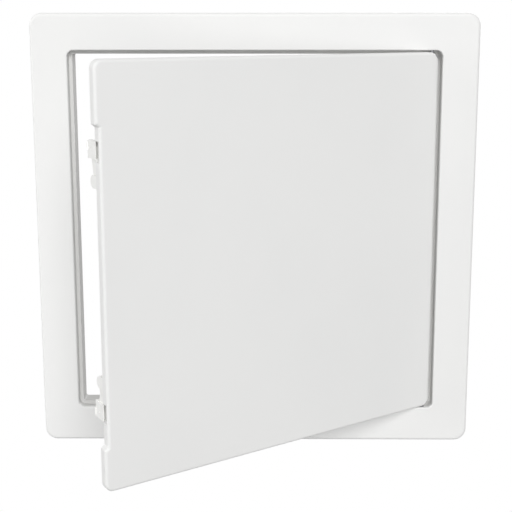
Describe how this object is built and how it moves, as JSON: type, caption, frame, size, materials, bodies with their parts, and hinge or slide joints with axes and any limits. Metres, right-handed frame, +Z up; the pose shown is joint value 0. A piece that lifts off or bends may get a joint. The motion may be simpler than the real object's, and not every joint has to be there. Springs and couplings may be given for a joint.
{
  "type": "access panel",
  "caption": "Square wall access panel: wide flanged frame with a recessed opening and a flat snap-in door hinged at one side, standing open",
  "frame": {"origin": "middle of the flange's back face, on the wall surface", "axes": "+X to the right as seen from the room, +Y into the wall, +Z up"},
  "size_m": [0.419, 0.2064, 0.419],
  "materials": {
    "panel_plastic": "white moulded plastic with a fine satin texture",
    "latch_plastic": "natural white moulded plastic, smooth",
    "pin_steel": "plain bright steel"
  },
  "bodies": {
    "frame": {"frame": "panel_plastic"},
    "door": {"door": "panel_plastic", "hinge_pins": "pin_steel", "upper_latch_block": "latch_plastic", "lower_latch_block": "latch_plastic"},
    "upper_tongue": {"upper_latch_tongue": "latch_plastic"},
    "lower_tongue": {"lower_latch_tongue": "latch_plastic"}
  },
  "joints": [
    {"name": "door_swing", "type": "hinge", "parent": "frame", "child": "door", "pos_m": [0.1655, 0.0004, 0], "axis": [0, 0, 1], "range_deg": [-33, 77]},
    {"name": "upper_tongue_flex", "type": "hinge", "parent": "door", "child": "upper_tongue", "pos_m": [-0.11888, -0.17164, 0.0789], "axis": [-0.5446, 0.8387, 0], "range_deg": [-2.5, 6], "stiffness_Nm_per_rad": 0.2},
    {"name": "lower_tongue_flex", "type": "hinge", "parent": "door", "child": "lower_tongue", "pos_m": [-0.11888, -0.17164, -0.0847], "axis": [0.5446, -0.8387, 0], "range_deg": [-2.5, 6], "stiffness_Nm_per_rad": 0.2}
  ]
}
